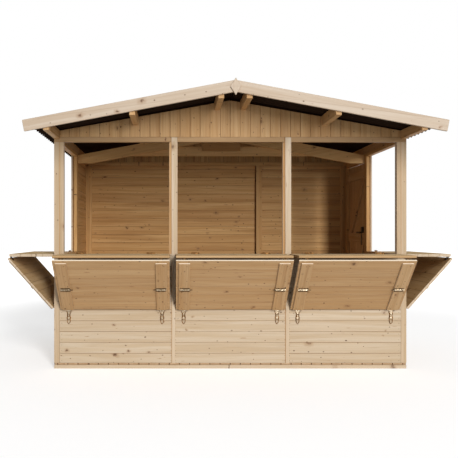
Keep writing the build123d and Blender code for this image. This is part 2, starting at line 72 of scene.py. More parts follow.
spruceParts = ("pale", "warm", "late", "knots", "gloss", "streak", "stripes", "vary")
spruce = {     # three colours, then how much of each of the rest
    "wall": ((0.63, 0.52, 0.385), (0.55, 0.42, 0.275), (0.42, 0.29, 0.165), 0.50, 0.30, 0.42, 0.2, 0.9),
    "frame": ((0.66, 0.54, 0.40), (0.59, 0.455, 0.305), (0.46, 0.325, 0.19), 0.35, 0.30, 0.36, 0.15, 0.7),
    # the wood inside the stall, darker and redder as painted shade
    "inside": ((0.70, 0.43, 0.18), (0.59, 0.325, 0.115), (0.38, 0.18, 0.055), 0.55, 0.22, 0.62, 0.75, 2.0),
    # a warm, darker wood as the painted shade under the eaves, also on the purlins, the recessed stiles and
    # the door's inside
    "gable": ((0.66, 0.43, 0.215), (0.56, 0.325, 0.135), (0.40, 0.205, 0.075), 0.60, 0.25, 0.50, 0.55, 1.9),
    "corner": ((0.60, 0.46, 0.315), (0.53, 0.385, 0.235), (0.41, 0.27, 0.145), 0.35, 0.25, 0.36, 0.15, 0.7),
    # a lighter copy of the inside wood as painted light, on the truss and the left wall's inner faces
    "truss": ((0.80, 0.51, 0.23), (0.69, 0.40, 0.155), (0.46, 0.23, 0.08), 0.45, 0.22, 0.50, 0.5, 1.2),
    # the gusset's wood, also the painted shadow beside the cover strips
    "plate": ((0.52, 0.28, 0.10), (0.45, 0.22, 0.07), (0.31, 0.13, 0.035), 0.2, 0.22, 0.40, 0.4, 0.8),
    # the front header rail's wood, darkened as the painted shade of the eaves
    "header": ((0.455, 0.295, 0.153), (0.40, 0.243, 0.113), (0.29, 0.156, 0.065), 0.35, 0.25, 0.40, 0.3, 0.8),
    # the flaps' and counters' wood, darker and more saturated as painted shade on faces turned down
    "hatch": ((0.57, 0.375, 0.195), (0.50, 0.30, 0.135), (0.35, 0.185, 0.075), 0.50, 0.32, 0.62, 0.4, 1.2),
    # a pale wood on end faces that look up, as painted light from above
    "planed": ((0.95, 0.84, 0.69), (0.91, 0.78, 0.60), (0.80, 0.63, 0.43), 0.10, 0.0, 0.25, 0.1, 0.4),
    # a paler wood on the counters' tops, as painted light from above
    "top": ((0.86, 0.665, 0.40), (0.79, 0.575, 0.315), (0.60, 0.405, 0.19), 0.40, 0.0, 0.40, 0.3, 0.8),
    # a paler wood on the flaps' inner faces, as painted light
    "lining": ((0.72, 0.525, 0.295), (0.64, 0.435, 0.22), (0.47, 0.29, 0.125), 0.45, 0.10, 0.50, 0.4, 1.1),
    "rim": ((0.57, 0.385, 0.205), (0.50, 0.31, 0.145), (0.37, 0.20, 0.08), 0.35, 0.20, 0.45, 0.3, 0.8),
    "shade": ((0.042, 0.025, 0.013), (0.036, 0.020, 0.010), (0.026, 0.014, 0.007), 0.0, 0.10, 0.30, 0.2, 0.3),
    "fascia": ((0.62, 0.515, 0.405), (0.56, 0.44, 0.325), (0.45, 0.33, 0.22), 0.45, 0.28, 0.38, 0.22, 0.5),
    "floor": ((0.60, 0.43, 0.27), (0.52, 0.345, 0.19), (0.38, 0.22, 0.105), 0.50, 0.35, 0.42, 0.3, 1.0),
}
spotLook = {     # fade is in radii, dark is the least and the most
    "knot": {"spacing": 0.185, "share": 1.0, "small": 0.00315, "large": 0.013125, "uneven": 0.16,
             "squeeze": 0.72, "fade": (0.35, 1.0), "dark": (0.45, 0.95)},
    "pin": {"spacing": 0.088, "share": 1.35, "small": 0.0033, "large": 0.0066, "uneven": 0.10,
            "squeeze": 0.72, "fade": (0.5, 1.15), "dark": (0.55, 1.0)},
    "dash": {"spacing": 0.052, "share": 1.0, "small": 0.0012, "large": 0.0040, "uneven": 0.12,
             "squeeze": 0.13, "fade": (0.3, 1.2), "dark": (0.25, 0.9)},
}
knotLook = {"dark": (0.105, 0.045, 0.018), "ring": (0.31, 0.155, 0.065), "halo": 0.42, "haloFade": (0.8, 3.4),
            "rim": 0.55, "rimAt": 0.95, "rimWide": 0.25, "ragged": 34.0, "bow": 0.012}
grainLook = {    # stretch along and across the board, then detail, roughness and scale
    "wander": ((1.6, 7.0, 7.0),), "bands": ((0.9, 26.0, 26.0),), "fine": ((22.0, 900.0, 900.0),),
    "lines": ((1.8, 150.0, 150.0), 3.0, 0.6), "resin": ((2.6, 85.0, 85.0), 2.0, 0.55),
    "stripes": ((0.7, 15.0, 15.0), 3.0, 0.6), "cloud": ((1.0, 3.0, 3.0), 2.0, 0.5, 2.3),
}
boardLook = {"darker": 0.22, "redder": 0.20, "cloud": 0.30, "wander": 0.034, "rough": (0.50, 0.68),
             "mattGloss": 0.15, "mattIor": 1.05, "fineBump": 0.35, "pinBump": 0.6, "bump": (0.0006, 0.55),
             "joint": 0.70, "jointColor": (0.25, 0.135, 0.06), "jointDirt": (0.45, 0.95)}
metalLook = {
    "zincSteel": {"color": (0.115, 0.075, 0.040), "dark": (0.040, 0.024, 0.012), "rough": 0.38},
    "wornZinc": {"color": (0.56, 0.465, 0.335), "dark": (0.25, 0.175, 0.10), "rough": 0.30},
    "brownZinc": {"color": (0.30, 0.155, 0.055), "dark": (0.13, 0.058, 0.018), "rough": 0.58},
}
bitumenLook = {"color": (0.020, 0.0108, 0.0066), "fibre": (0.036, 0.019, 0.011), "rough": 0.86, "gloss": 0.06}


class nodeBench:
    # makes shader nodes and links with short lines, for a new material or another owner
    def __init__(self, name, owner=None, shader="BsdfPrincipled", output="OutputMaterial"):
        self.owner = owner or bpy.data.materials.new(name)
        self.owner.use_nodes = True
        self.tree = self.owner.node_tree
        self.tree.nodes.clear()
        self.shader, self.output = self.add(shader), self.add(output)
        self.feed(self.output.inputs[0], self.shader.outputs[0])

    def add(self, kind, **settings):
        node = self.tree.nodes.new("ShaderNode" + kind)
        for key, value in settings.items():
            setattr(node, key, value)
        return node

    def feed(self, socket, value):
        # a socket is linked, anything else is set
        if isinstance(value, bpy.types.NodeSocket):
            self.tree.links.new(value, socket)
        else:
            socket.default_value = value

    def surface(self, key, value):
        self.feed(self.shader.inputs[key], value)

    def through(self, node, *values, **named):
        # feeds a node's sockets, in their order or by name
        for socket, value in zip(node.inputs, values):
            self.feed(socket, value)
        for key, value in named.items():
            self.feed(node.inputs[key], value)
        return node.outputs[0]

    def maths(self, operation, *values):
        return self.through(self.add("Math", operation=operation), *values)

    def times(self, a, b):
        return self.maths("MULTIPLY", a, b)

    def vectorMaths(self, operation, *values):
        return self.through(self.add("VectorMath", operation=operation), *values)

    def blendColor(self, factor, a, b):
        node = self.add("Mix", data_type="RGBA", clamp_factor=True)
        self.through(node, factor)
        for socket, value in zip(node.inputs[6:8], (a, b)):
            self.feed(socket, (*value, 1) if isinstance(value, tuple) else value)
        return node.outputs[2]

    def ramp(self, value, low, high, outLow=0.0, outHigh=1.0, smooth=True):
        node = self.add("MapRange", interpolation_type="SMOOTHSTEP" if smooth else "LINEAR")
        return self.through(node, value, low, high, outLow, outHigh)

    def noise(self, place, scale, detail=2.0, rough=0.5):
        return self.through(self.add("TexNoise"), Vector=place, Scale=scale, Detail=detail, Roughness=rough)

    def streaks(self, place, stretch, detail=2.0, rough=0.5, scale=1.0):
        return self.noise(self.vectorMaths("MULTIPLY", place, stretch), scale, detail, rough)

    def bump(self, height, distance, strength):
        bumps = self.through(self.add("Bump"), Strength=strength, Distance=distance, Height=height)
        self.surface("Normal", bumps)

    def seen(self):
        # 1 for rays that come from the camera, a reflection or glass
        rays = self.add("LightPath")
        seen = self.maths("MAXIMUM", rays.outputs["Is Camera Ray"], rays.outputs["Is Glossy Ray"])
        return self.maths("MAXIMUM", seen, rays.outputs["Is Transmission Ray"])


def woodMaterial(name, look):
    bench = nodeBench(name)
    maths, times, vectors, ramp = bench.maths, bench.times, bench.vectorMaths, bench.ramp
    grain = bench.add("Attribute", attribute_name="grainAt").outputs["Vector"]
    groove = bench.add("Attribute", attribute_name="groove").outputs["Fac"]
    tone = bench.add("SeparateXYZ")
    bench.through(tone, bench.add("Attribute", attribute_name="boardTone").outputs["Vector"])

    # knots are uneven ovals in flat cells, bigger in some cells and missing in others
    places = grain, vectors("ADD", grain, (7.3, 2.1, 0.0))
    wobbles = (bench.noise(place, knotLook["ragged"]) for place in places)
    wobble = bench.through(bench.add("CombineXYZ"), *wobbles)

    def spots(kind, share):
        # how many radii away the nearest spot is, whether it is there, and how dark it makes the wood
        spot = spotLook[kind]
        cell = (spot["squeeze"] / spot["spacing"], 1 / spot["spacing"], 0.0)
        uneven = vectors("MULTIPLY", wobble, (spot["uneven"], spot["uneven"], 0.0))
        cells = bench.add("TexVoronoi", voronoi_dimensions="2D", feature="F1")
        bench.through(cells, Vector=vectors("ADD", vectors("MULTIPLY", grain, cell), uneven), Scale=1.0)
        own = bench.add("SeparateColor")
        bench.through(own, cells.outputs["Color"])
        present = maths("LESS_THAN", own.outputs[0], share * spot["share"])
        size = maths("POWER", own.outputs[1], 1.8)      # more small spots than large ones
        size = ramp(size, 0.0, 1.0, spot["small"], spot["large"], smooth=False)
        radius = maths("MAXIMUM", times(size, present), 0.0003)
        ratio = maths("DIVIDE", times(cells.outputs["Distance"], spot["spacing"]), radius)
        dark = times(ramp(ratio, *spot["fade"], 1.0, 0.0), ramp(own.outputs[2], 0.0, 1.0, *spot["dark"]))
        return ratio, present, dark

    ratio, present, core = spots("knot", look["knots"])
    halo = times(ramp(ratio, *knotLook["haloFade"], 1.0, 0.0), present)
    offRim = maths("ABSOLUTE", maths("SUBTRACT", ratio, knotLook["rimAt"]))
    rim = times(ramp(offRim, 0.0, knotLook["rimWide"], 1.0, 0.0), present)
    pin = spots("pin", look["knots"])[2]
    dash = spots("dash", look["streak"])[2]

    # grain lines run along the board, wander a little and bow round the knots
    wander = bench.streaks(grain, *grainLook["wander"])
    shift = maths("MULTIPLY_ADD", wander, boardLook["wander"], times(halo, knotLook["bow"]))
    bent = vectors("ADD", grain, bench.through(bench.add("CombineXYZ"), 0.0, shift))
    bands, lines, resin, stripes = (bench.streaks(bent, *grainLook[key]) for key in
                                    ("bands", "lines", "resin", "stripes"))
    fine, cloud = (bench.streaks(grain, *grainLook[key]) for key in ("fine", "cloud"))

    color = bench.blendColor(ramp(bands, 0.32, 0.70), look["pale"], look["warm"])
    for factor, tint in (
            (ramp(lines, 0.46, 0.72, 0.0, look["streak"]), look["late"]),
            (ramp(resin, 0.64, 0.76, 0.0, look["streak"] * 1.1), knotLook["ring"]),
            (ramp(cloud, 0.40, 0.72, 0.0, boardLook["cloud"]), look["warm"]),
            (ramp(stripes, 0.50, 0.72, 0.0, look["stripes"]), look["late"]),
            # each board is a little darker or redder than the next
            (ramp(tone.outputs[0], 0.0, 1.0, boardLook["darker"] * look["vary"], 0.0, smooth=False),
             look["late"]),
            (times(tone.outputs[1], boardLook["redder"]), look["warm"]),
            (times(halo, knotLook["halo"]), knotLook["ring"]),
            (times(rim, knotLook["rim"]), knotLook["dark"]),
            (core, knotLook["dark"]), (dash, knotLook["ring"]), (pin, knotLook["dark"]),
            (times(groove, boardLook["joint"]), boardLook["jointColor"])):
        color = bench.blendColor(factor, color, tint)
    bench.surface("Base Color", color)
    bench.surface("Roughness", ramp(lines, 0.2, 0.8, *boardLook["rough"]))
    bench.surface("Specular IOR Level", look["gloss"])
    if look["gloss"] < boardLook["mattGloss"]:
        bench.surface("IOR", boardLook["mattIor"])
    height = maths("MULTIPLY_ADD", fine, boardLook["fineBump"], lines)
    bench.bump(maths("SUBTRACT", height, times(pin, boardLook["pinBump"])), *boardLook["bump"])
    return bench.owner


def metalMaterial(name, look):
    bench = nodeBench(name)
    place = bench.add("TexCoord").outputs["Object"]
    cloud = bench.noise(place, 90.0, 3.0)
    bench.surface("Base Color", bench.blendColor(bench.ramp(cloud, 0.40, 0.66), look["color"], look["dark"]))
    bench.surface("Metallic", 1.0)
    bench.surface("Roughness", bench.ramp(cloud, 0.3, 0.75, look["rough"] - 0.06, look["rough"] + 0.20))
    bench.bump(bench.streaks(place, (400.0, 400.0, 60.0)), 0.0002, 0.4)
    return bench.owner


def bitumenMaterial(name, look):
    bench = nodeBench(name)
    place = bench.add("TexCoord").outputs["Object"]
    fibres = bench.streaks(place, (60.0, 380.0, 60.0), 4.0, 0.65)
    patches = bench.noise(place, 5.0, 3.0)
    mix = bench.times(bench.ramp(fibres, 0.42, 0.75), bench.ramp(patches, 0.3, 0.8, 0.35, 1.0))
    bench.surface("Base Color", bench.blendColor(mix, look["color"], look["fibre"]))
    bench.surface("Roughness", bench.ramp(patches, 0.2, 0.8, look["rough"] - 0.08, look["rough"] + 0.08))
    bench.surface("Specular IOR Level", look["gloss"])
    bench.bump(fibres, 0.0008, 0.6)
    return bench.owner


woods = {key: woodMaterial(key + "Spruce", dict(zip(spruceParts, row))) for key, row in spruce.items()}
metals = {key: metalMaterial(key, look) for key, look in metalLook.items()}
bitumen = bitumenMaterial("corrugatedBitumen", bitumenLook)
slotOf = {"wall": "wall_boards", "gable": "wall_boards", "hatch": "hatch_boards", "fascia": "fascia_timber",
          "floor": "floor_timber", **dict.fromkeys(("frame", "shade", "truss", "plate"), "frame_timber")}
print("materials ready")


def connectedGroups(items, nextTo):
    groups, seen = [], set()
    for start in items:
        if start in seen:
            continue
        seen.add(start)
        group, queue = [], [start]
        while queue:
            item = queue.pop()
            group.append(item)
            for other in nextTo(item):
                if other not in seen:
                    seen.add(other)
                    queue.append(other)
        groups.append(group)
    return groups


def solidsOf(node):
    # the separate solids in one CAD node, each as its own clean bmesh
    whole = bmesh.new()
    whole.from_mesh(frame["nodes"][node].data)
    bmesh.ops.remove_doubles(whole, verts=whole.verts, dist=weld)
    solids = []
    for group in connectedGroups(whole.faces, lambda face: [other for vert in face.verts
                                                            for other in vert.link_faces]):
        verts = sorted({vert for face in group for vert in face.verts}, key=lambda vert: vert.index)
        solid = bmesh.new()
        copies = {vert: solid.verts.new(vert.co) for vert in verts}
        for face in sorted(group, key=lambda face: face.index):
            solid.faces.new([copies[vert] for vert in face.verts])
        bmesh.ops.dissolve_limit(solid, angle_limit=flatAngle, verts=solid.verts, edges=solid.edges)
        solids.append(solid)
    whole.free()
    return sorted(solids, key=lambda solid: tuple(round(x, 4) for x in spanOf(solid)[0]))


def spanOf(solid):
    points = [vert.co for vert in solid.verts]
    return [Vector([pick(point[i] for point in points) for i in range(3)]) for pick in (min, max)]


def reachAlong(solid, direction):
    places = [vert.co.dot(direction) for vert in solid.verts]
    return min(places), max(places)


def softenEdges(solid, width):
    return bmesh.ops.bevel(solid, geom=solid.edges[:], offset=width, segments=1, affect="EDGES",
                           clamp_overlap=True)


def cutOff(solid, place, direction):
    # takes away what lies past a plane and closes the cut
    everything = solid.verts[:] + solid.edges[:] + solid.faces[:]
    bmesh.ops.bisect_plane(solid, geom=everything, plane_co=place, plane_no=direction, clear_outer=True,
                           dist=1e-6)
    bmesh.ops.holes_fill(solid, edges=[edge for edge in solid.edges if edge.is_boundary], sides=0)


def cutBetween(solid, direction, low, high):
    # the part of a solid between two planes, or None
    part = solid.copy()
    start, end = reachAlong(part, direction)
    for place, way in ((low, -1), (high, 1)):
        if start + weld < place < end - weld:
            cutOff(part, direction * place, direction * way)
        elif (way < 0 and place >= end - weld) or (way > 0 and place <= start + weld):
            return None
    if not part.faces:
        return None
    bmesh.ops.recalc_face_normals(part, faces=part.faces)
    bmesh.ops.dissolve_limit(part, angle_limit=flatAngle, verts=part.verts, edges=part.edges)
    return part


def loosePieces(solid):
    # splits one bmesh into its unconnected parts
    pieces = []
    for group in connectedGroups(solid.verts, lambda vert: [edge.other_vert(vert)
                                                            for edge in vert.link_edges]):
        piece = bmesh.new()
        copies = {vert: piece.verts.new(vert.co) for vert in group}
        for face in solid.faces:
            if face.verts[0] in copies:
                piece.faces.new([copies[vert] for vert in face.verts])
        pieces.append(piece)
    return pieces


def meshOf(name, points, faces, materials):
    mesh = bpy.data.meshes.new(name)
    mesh.from_pydata(points, [], faces)
    mesh.update()
    for material in materials:
        mesh.materials.append(material)
    return mesh


def intoScene(name, data):
    thing = bpy.data.objects.new(name, data)
    bpy.context.scene.collection.objects.link(thing)
    return thing


class woodPile:
    # collects boards and writes them as one mesh with grain places and tones
    def __init__(self, name, seed):
        self.name = name
        self.random = random.Random(seed)
        self.points, self.faces, self.kinds = [], [], []
        self.grain, self.tone, self.groove = [], [], []

    def add(self, solid, along, across, look, kindOf=None, dirty=1.0):
        depth = along.cross(across)
        offset = Vector([self.random.uniform(0, 40) for i in range(3)])
        spread = look.get("spread", 1.0)
        tone = (0.5 + (self.random.random() - 0.5) * spread, self.random.random() * spread, 0.0)
        least, more = boardLook["jointDirt"]      # some joints are darker than others
        dirt = min(1.0, look["dirt"] * dirty * (least + more * (offset.x % 1)))
        bevelled = set(softenEdges(solid, look["edge"])["faces"])
        solid.verts.index_update()
        solid.normal_update()
        base = len(self.points)
        for vert in solid.verts:
            place = vert.co
            self.points.append(place[:])
            self.grain.append((Vector((place.dot(along), place.dot(across), place.dot(depth))) + offset)[:])
            self.tone.append(tone)
        for face in solid.faces:
            self.faces.append([base + vert.index for vert in face.verts])
            self.groove.append(dirt if face in bevelled else 0.0)
            self.kinds.append(kindOf(face.normal, face.calc_center_median()) if kindOf else None)
        solid.free()

    def finish(self, wood, body, *nodes):
        kinds = [wood] + sorted({kind for kind in self.kinds if kind and kind != wood})
        mesh = meshOf(self.name, self.points, self.faces, [woods[kind] for kind in kinds])
        for key, values in (("grainAt", self.grain), ("boardTone", self.tone)):
            layer = mesh.attributes.new(key, "FLOAT_VECTOR", "POINT")
            layer.data.foreach_set("vector", [x for value in values for x in value])
        layer = mesh.attributes.new("groove", "FLOAT", "FACE")
        layer.data.foreach_set("value", self.groove)
        mesh.polygons.foreach_set("material_index", [kinds.index(kind) if kind else 0 for kind in self.kinds])
        piece = intoScene(self.name, mesh)
        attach(piece, body)
        if nodes:
            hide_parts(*nodes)


def indoors(normal, centre):
    # faces that look into the stall take a darker, redder wood as painted shade, and the left wall's inner
    # faces a lighter copy as painted light
    spot = centre + normal * 0.01
    if abs(spot.x) < walls["side"] and walls["inFront"] < spot.y < walls["rear"] and spot.z < walls["top"]:
        return "truss" if spot.x < walls["inLeft"] and normal.x > 0.5 else "inside"


def timbers(name, wood, node, seed, edge=0.0015, along=None, spread=0.9, kindOf=None):
    pile = woodPile(name, seed)
    look = {"edge": edge, "spread": spread, "dirt": 0.25}
    for solid in solidsOf(node):
        low, high = spanOf(solid)
        longestFirst = sorted(axes, key=(low - high).dot)
        direction = along(solid) if along else longestFirst[0]
        if direction in axes:
            across = next(axis for axis in longestFirst if axis is not direction)
        else:
            across = (axisZ - direction * direction.dot(axisZ)).normalized()
        pile.add(solid, direction, across, look, kindOf)
    pile.finish(wood, "stall", node)


def boardRows(low, high, first, pitch, least=0.004):
    # joints between boards from low to high, with one at first
    counts = range(math.floor((low - first) / pitch), math.ceil((high - first) / pitch) + 1)
    joints = [first + count * pitch for count in counts]
    joints = [low] + [place for place in joints if low + least < place < high - least] + [high]
    return list(zip(joints, joints[1:]))


wallBoards = {"pitch": 0.0925, "joint": 0.0375, "edge": 0.0024, "dirt": 0.85, "shades": (0.5, 0.9, 1.2, 1.4)}
gableBoards = {"pitch": 0.0855, "joint": 0.0, "edge": 0.0030, "dirt": 1.0, "shades": (0.6, 1.0, 1.4)}
floorBoards = {"pitch": 0.0865, "joint": 0.0, "edge": 0.0036, "dirt": 1.0, "ends": 0.88}


def boardedPanels(name, node, wood, seed, along, across, boards):
    # boards over each panel, cut to its outline
    pile = woodPile(name, seed)
    for solid in solidsOf(node):
        for a, b in boardRows(*reachAlong(solid, across), boards["joint"], boards["pitch"]):
            part = cutBetween(solid, across, a, b)
            if part:
                dirty = pile.random.choice(boards["shades"])
                for piece in loosePieces(part):
                    pile.add(piece, along, across, boards, indoors, dirty)
    pile.finish(wood, "stall", node)


wallWays = {"front": (-axisY, axisX), "rear": (axisY, axisX),
            "left": (-axisX, axisY), "right": (axisX, axisY)}
for index, (side, (out, along)) in enumerate(wallWays.items()):
    boardedPanels(side + "WallBoards", side + "_cladding", "wall", 11 + index, along, axisZ, wallBoards)
timbers("doorLintel", "frame", "door_lintel", 15, kindOf=indoors)
# the front gable boards take the warm painted shade of the eaves
boardedPanels("frontGableBoards", "front_gable", "gable", 21, axisZ, axisX, gableBoards)
boardedPanels("rearGableBoards", "rear_gable", "wall", 22, axisZ, axisX, gableBoards)

stiles = {"cornerSide": 1.42, "cornerFront": -0.86, "middle": 1.3, "header": -0.8}


def outerCorners(normal, centre):
    corner = abs(centre.x) > stiles["cornerSide"] and centre.y < stiles["cornerFront"]
    return "corner" if corner else indoors(normal, centre)


def frontStiles(normal, centre):
    # the stiles stand back behind the strips, and their front faces take the warm painted shade
    stile = abs(centre.x) < stiles["middle"] and normal.y < -facing
    return "gable" if stile else outerCorners(normal, centre)


# the front header rail's faces take the painted eave shade, the rest are sorted as indoors
def headerPaintedShade(normal, centre):
    return "header" if centre.y < stiles["header"] else indoors(normal, centre)


for name, node, seed, kindOf in (
        ("frontPosts", "front_posts", 31, frontStiles), ("rearPosts", "rear_posts", 32, indoors),
        ("leftPosts", "left_posts", 33, outerCorners), ("rightPosts", "right_posts", 34, outerCorners),
        ("bottomRails", "bottom_rails", 35, indoors), ("sillRails", "sill_rails", 36, indoors),
        ("headerRails", "header_rails", 37, headerPaintedShade)):
    timbers(name, "frame", node, seed, kindOf=kindOf)
timbers("coverStrips", "frame", "cover_strips", 38, 0.0018, kindOf=outerCorners)

# sizes of the painted shadow lines
shadowLineLook = {"lower": 0.0032, "upper": 0.0042, "rear": 0.008, "proud": 0.0011, "lowerTop": 0.93,
            "short": 0.004, "wideStrip": 0.06, "edge": 0.0004, "spread": 0.5, "dirt": 0.0}


def paintedShadowLines():
    # painted shadow: thin dark strips beside the cover strips and along the rear stiles' edges, where shadow
    # falls
    brown, dark = woodPile("stripSeams", 39), woodPile("rearSeams", 40)

    def line(pile, x, wide, face, bottom, top):
        seam = bmesh.new()
        bmesh.ops.create_cube(seam, size=1.0)
        size = (wide, shadowLineLook["proud"] * 2, top - bottom - shadowLineLook["short"])
        for vert in seam.verts:
            vert.co = Vector([vert.co[i] * size[i] for i in range(3)]) + Vector((x, face, (bottom + top) / 2))
        pile.add(seam, axisZ, axisX, shadowLineLook)

    for solid in solidsOf("cover_strips"):
        low, high = spanOf(solid)
        if high.y > 0 or high.x - low.x > shadowLineLook["wideStrip"] or abs(low.x) > walls["side"] - 0.01:
            continue
        middle = (low.x + high.x) / 2
        if low.z < shadowLineLook["lowerTop"]:
            top = min(high.z, shadowLineLook["lowerTop"])
            line(brown, low.x - shadowLineLook["lower"] * 0.45, shadowLineLook["lower"], walls["front"], low.z, top)
        elif abs(middle) < stiles["middle"]:
            line(brown, low.x - shadowLineLook["upper"] / 2, shadowLineLook["upper"], high.y, low.z, high.z)
        else:
            line(brown, low.x if middle < 0 else high.x, shadowLineLook["lower"], low.y, low.z, high.z)
    for solid in solidsOf("rear_posts"):
        low, high = spanOf(solid)
        if high.x - low.x > shadowLineLook["wideStrip"]:
            line(dark, low.x + shadowLineLook["rear"] / 2, shadowLineLook["rear"], low.y, low.z, high.z)
    brown.finish("plate", "stall")
    dark.finish("shade", "stall")


paintedShadowLines()
print("walls boarded")


def floorKind(normal, centre):
    # the boards' end faces at front and rear are painted dark as shade
    return "shade" if abs(normal.x) > 0.5 and abs(centre.y) > floorBoards["ends"] else None


def boardedFloor():
    pile = woodPile("floorBoards", 41)
    for solid in solidsOf("floor_deck"):
        for a, b in boardRows(*reachAlong(solid, axisX), floorBoards["joint"], floorBoards["pitch"]):
            pile.add(cutBetween(solid, axisX, a, b), axisY, axisX, floorBoards, floorKind)
    pile.finish("floor", "stall", "floor_deck")


boardedFloor()


def slopeOf(solid):
    low, high = spanOf(solid)
    return slopeRight if low.x + high.x > 0 else slopeLeft


timbers("floorBearers", "frame", "floor_bearers", 42)
# the purlins take the warm painted shade of the eaves
timbers("purlins", "gable", "purlins", 51, 0.002, lambda solid: axisY)
# the truss timbers take the lighter inside wood as painted light
timbers("trussRafters", "truss", "truss_rafters", 52, 0.002, slopeOf)
timbers("trussCollar", "truss", "truss_collar", 53, 0.002)
timbers("trussGusset", "plate", "truss_gusset", 54, 0.001)
timbers("frontFascias", "fascia", "front_fascias", 55, 0.0025, slopeOf, 0.4)
timbers("rearFascias", "fascia", "rear_fascias", 56, 0.0025, slopeOf, 0.4)
timbers("gableDiamonds", "fascia", "gable_diamonds", 57, 0.0022, lambda solid: axisZ, 0.4)

sheets = {"waves": 30, "pitch": 0.076, "deep": 0.018, "thick": 0.0025, "pointsInWave": 16, "rows": 14}


def corrugatedSheet(name, node):
    # waves follow one another along the ridge and run down the slope
    low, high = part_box(node)
    near, far = sorted((low[0], high[0]), key=abs)
    ridgeTop = high[2] - sheets["thick"] - sheets["deep"] + roofSlope * abs(near)
    startY = (low[1] + high[1]) / 2 - sheets["waves"] * sheets["pitch"] / 2
    steps, rows = sheets["waves"] * sheets["pointsInWave"], sheets["rows"]
    points, faces = [], []
    for lift in (0.0, sheets["thick"]):
        for row in range(rows + 1):
            x = near + (far - near) * row / rows
            for i in range(steps + 1):
                turn = i / sheets["pointsInWave"]
                wave = sheets["deep"] / 2 * (1 - math.cos(2 * math.pi * turn))
                z = ridgeTop - roofSlope * abs(x) + wave + lift
                points.append((x, startY + turn * sheets["pitch"], z))
    wide = steps + 1
    layer = wide * (rows + 1)
    for row in range(rows):
        for a in range(row * wide, row * wide + steps):
            below = (a, a + 1, a + 1 + wide, a + wide)
            faces += [below, [layer + corner for corner in reversed(below)]]
    for border, flipped in ((range(wide), False), (range(rows * wide, layer), True),
                            (range(0, layer, wide), True), (range(steps, layer, wide), False)):
        for a, b in zip(border, border[1:]):
            faces.append((b, layer + b, layer + a, a) if flipped else (a, layer + a, layer + b, b))
    mesh = meshOf(name, points, faces, [bitumen])
    shape = bmesh.new()
    shape.from_mesh(mesh)
    bmesh.ops.recalc_face_normals(shape, faces=shape.faces)
    shape.to_mesh(mesh)
    shape.free()
    mesh.shade_smooth()
    piece = intoScene(name, mesh)
    split = piece.modifiers.new("crispEdges", "EDGE_SPLIT")
    split.split_angle = math.radians(50)
    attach(piece, "stall")
    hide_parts(node)


corrugatedSheet("roofSheetLeft", "roof_sheet_left")
corrugatedSheet("roofSheetRight", "roof_sheet_right")
print("roof covered")

hatchWays = {"front": (-axisY, axisX), "left": (-axisX, -axisY), "right": (axisX, axisY)}
hatchNames = [body[:-len("_counter")] for body in frame["bodies"] if body.endswith("_counter")]
hatch = {"pitch": 0.094, "edge": 0.0018, "dirt": 0.95, "leafThick": 0.017, "foldAngle": 132, "corner": 0.004,
         "flapCorner": 0.0014}
battenLook = {"edge": 0.0018, "dirt": 0.3}


def flapAxes(out):
    # along a flap from its fold, and out of its side with the battens
    turn = math.radians(hatch["foldAngle"])
    return out * math.cos(turn) - axisZ * math.sin(turn), out * math.sin(turn) + axisZ * math.cos(turn)


def leafBoards(pile, leaf, along, across, trimmed, corner, depth, kindOf):
    # boards side by side; the first or the last has its outer corner taken off
    start, end = reachAlong(leaf, across)
    pitch = (end - start) / round((end - start) / hatch["pitch"])
    rows = boardRows(start, end, start, pitch)
    for row in rows:
        board = cutBetween(leaf, across, *row)
        if row is rows[trimmed]:
            cutOff(board, corner * (reachAlong(board, corner)[1] - depth), corner)
            bmesh.ops.recalc_face_normals(board, faces=board.faces)
        pile.add(board, along, across, hatch, kindOf)


def flapBattens(solid, face):
    back, front = reachAlong(solid, face)
    return loosePieces(cutBetween(solid, face, back + hatch["leafThick"] + sliver, front))


def boardedHatch(name, seed):
    out, along = hatchWays[name.split("_")[0]]      # out of the wall, and along it
    down, face = flapAxes(out)
    counterCorner, flapCorner = (out - axisZ).normalized(), (-down - face).normalized()

    def counterKind(normal, centre):
        # tops are painted paler as light from above
        if normal.z > facing:
            return "top"
        # the chamfer under the counter's outer edge is painted dark as the shade in the gap to the flap
        if normal.dot(counterCorner) > 0.95:
            return "shade"
        if abs(normal.z) > facing:
            return None
        return "rim" if abs(out.y) > 0.5 else "frame"

    def flapKind(normal, centre):
        # end faces toward the fold are painted pale as light from above
        if normal.dot(down) < -facing:
            return "planed"
        # the inner face, toward the wall, is painted paler as light
        if normal.dot(face) < -facing:
            return "lining"
        return "frame" if abs(normal.dot(along)) > facing else None

    pile = woodPile(name + "CounterBoards", seed)
    for solid in solidsOf(name + "_counter"):
        leafBoards(pile, solid, along, out, -1, counterCorner, hatch["corner"], counterKind)
    pile.finish("hatch", name + "_counter", name + "_counter")

    # the flap boards' faces take the hatch wood, darker and more saturated as painted shade
    pile = woodPile(name + "FlapBoards", seed + 5)
    for solid in solidsOf(name + "_flap"):
        back = reachAlong(solid, face)[0]
        leaf = cutBetween(solid, face, back, back + hatch["leafThick"] - sliver)
        leafBoards(pile, leaf, along, down, 0, flapCorner, hatch["flapCorner"], flapKind)
        for batten in flapBattens(solid, face):
            pile.add(batten, down, along, battenLook, flapKind)
    pile.finish("hatch", name + "_flap", name + "_flap")


for index, hatchName in enumerate(hatchNames):
    boardedHatch(hatchName, 70 + 10 * index)

doorParts = {"ledges": (0.150, 1.070, 1.725), "ledgeHigh": 0.092, "boardThick": 0.016, "pitch": 0.1042,
             "braceAcross": -0.46}
ledgeLook = {"edge": 0.0015, "dirt": 0.25}


# the door's inside faces take the warm painted shade
def doorKind(normal, centre):
    return "gable" if indoors(normal, centre) else None


